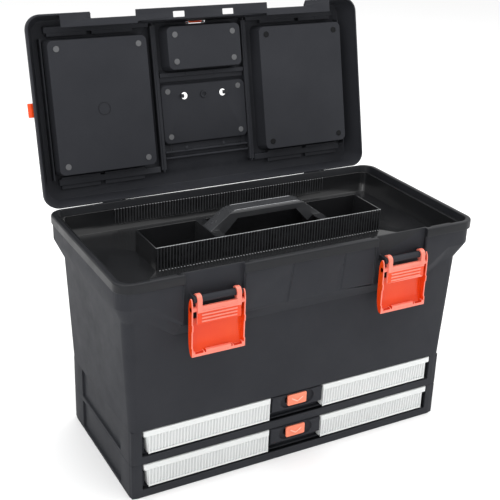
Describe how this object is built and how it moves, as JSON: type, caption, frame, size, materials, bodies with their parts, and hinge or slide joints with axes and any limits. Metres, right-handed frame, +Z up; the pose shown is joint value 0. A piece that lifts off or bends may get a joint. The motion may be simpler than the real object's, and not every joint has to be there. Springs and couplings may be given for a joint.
{
  "type": "carpenter toolbox",
  "caption": "Carpenter toolbox: deep tub on sliding drawer frames with clear bins, lift-out tote tray, hinged organizer lid, over-centre latches and folding carry handle.",
  "frame": {"origin": "middle of the base, on the surface the toolbox stands on", "axes": "+Z up, -Y towards the front with the latches and drawers, +X to the right seen from the front"},
  "size_m": [0.614, 0.4383, 0.6548],
  "materials": {
    "black_body": "fine moulded grain, satin",
    "black_gloss": "smooth moulded, half gloss",
    "orange_latch": "smooth moulded, half gloss",
    "salmon_slide": "smooth moulded",
    "milky_bin": "milky translucent, ribbed",
    "smoke_cover": "smoke-clear, polished",
    "steel": "zinc plated"
  },
  "bodies": {
    "case": {"tub": "black_body", "upper_drawer_frame": "black_body", "lower_drawer_frame": "black_body", "frame_screws": "steel", "latch_keepers": "black_body", "lid_hinge_pins": "steel"},
    "lid": {"lid": "black_body", "cover_hinge_pins": "orange_latch", "handle_brackets": "black_body"},
    "left_cover": {"left_organizer_cover": "smoke_cover"},
    "right_cover": {"right_organizer_cover": "smoke_cover"},
    "front_cover": {"front_organizer_cover": "smoke_cover"},
    "left_clip": {"left_cover_clip": "orange_latch"},
    "right_clip": {"right_cover_clip": "orange_latch"},
    "front_clip": {"front_cover_clip": "orange_latch"},
    "handle": {"carry_handle": "black_body"},
    "tray": {"tote_tray": "black_gloss"},
    "left_link": {"left_latch_link": "orange_latch", "left_latch_pin": "steel"},
    "left_lever": {"left_latch_lever": "orange_latch"},
    "right_link": {"right_latch_link": "orange_latch", "right_latch_pin": "steel"},
    "right_lever": {"right_latch_lever": "orange_latch"},
    "upper_drawer": {"upper_drawer_carrier": "black_body", "upper_left_bin": "milky_bin", "upper_right_bin": "milky_bin"},
    "upper_slide_latch": {"upper_drawer_latch": "salmon_slide"},
    "lower_drawer": {"lower_drawer_carrier": "black_body", "lower_left_bin": "milky_bin", "lower_right_bin": "milky_bin"},
    "lower_slide_latch": {"lower_drawer_latch": "salmon_slide"}
  },
  "joints": [
    {"name": "lid_hinge", "type": "hinge", "parent": "case", "child": "lid", "pos_m": [0, 0.157, 0.358], "axis": [-1, 0, 0], "range_deg": [-102.6, 0]},
    {"name": "tray_lift", "type": "slide", "parent": "case", "child": "tray", "axis": [0, 0, 1], "range_m": [0, 0.18]},
    {"name": "left_cover_hinge", "type": "hinge", "parent": "lid", "child": "left_cover", "pos_m": [-0.102, 0.23858, 0.50064], "axis": [0, -0.2181, -0.9759], "range_deg": [0, 95]},
    {"name": "right_cover_hinge", "type": "hinge", "parent": "lid", "child": "right_cover", "pos_m": [0.102, 0.23858, 0.50064], "axis": [0, 0.2181, 0.9759], "range_deg": [0, 95]},
    {"name": "front_cover_hinge", "type": "hinge", "parent": "lid", "child": "front_cover", "pos_m": [0, 0.24763, 0.54114], "axis": [-1, 0, 0], "range_deg": [0, 95]},
    {"name": "left_clip_hinge", "type": "hinge", "parent": "left_cover", "child": "left_clip", "pos_m": [-0.281, 0.23916, 0.50461], "axis": [0, -0.2181, -0.9759], "range_deg": [0, 40]},
    {"name": "right_clip_hinge", "type": "hinge", "parent": "right_cover", "child": "right_clip", "pos_m": [0.281, 0.23916, 0.50461], "axis": [0, 0.2181, 0.9759], "range_deg": [0, 40]},
    {"name": "front_clip_hinge", "type": "hinge", "parent": "front_cover", "child": "front_clip", "pos_m": [0, 0.26545, 0.62221], "axis": [-1, 0, 0], "range_deg": [0, 40]},
    {"name": "carry_handle_hinge", "type": "hinge", "parent": "lid", "child": "handle", "pos_m": [0, 0.23543, 0.50442], "axis": [1, 0, 0], "range_deg": [0, 90]},
    {"name": "left_latch_swing", "type": "hinge", "parent": "case", "child": "left_link", "pos_m": [-0.16, -0.1585, 0.33], "axis": [-1, 0, 0], "range_deg": [0, 176]},
    {"name": "left_lever_pivot", "type": "hinge", "parent": "left_link", "child": "left_lever", "pos_m": [-0.16, -0.16, 0.316], "axis": [1, 0, 0], "range_deg": [-15, 8]},
    {"name": "right_latch_swing", "type": "hinge", "parent": "case", "child": "right_link", "pos_m": [0.16, -0.1585, 0.33], "axis": [-1, 0, 0], "range_deg": [0, 176]},
    {"name": "right_lever_pivot", "type": "hinge", "parent": "right_link", "child": "right_lever", "pos_m": [0.16, -0.16, 0.316], "axis": [1, 0, 0], "range_deg": [-15, 8]},
    {"name": "upper_drawer_slide", "type": "slide", "parent": "case", "child": "upper_drawer", "axis": [0, -1, 0], "range_m": [0, 0.18]},
    {"name": "upper_drawer_latch_slide", "type": "slide", "parent": "upper_drawer", "child": "upper_slide_latch", "axis": [1, 0, 0], "range_m": [0, 0.009]},
    {"name": "lower_drawer_slide", "type": "slide", "parent": "case", "child": "lower_drawer", "axis": [0, -1, 0], "range_m": [0, 0.18]},
    {"name": "lower_drawer_latch_slide", "type": "slide", "parent": "lower_drawer", "child": "lower_slide_latch", "axis": [1, 0, 0], "range_m": [0, 0.009]}
  ]
}
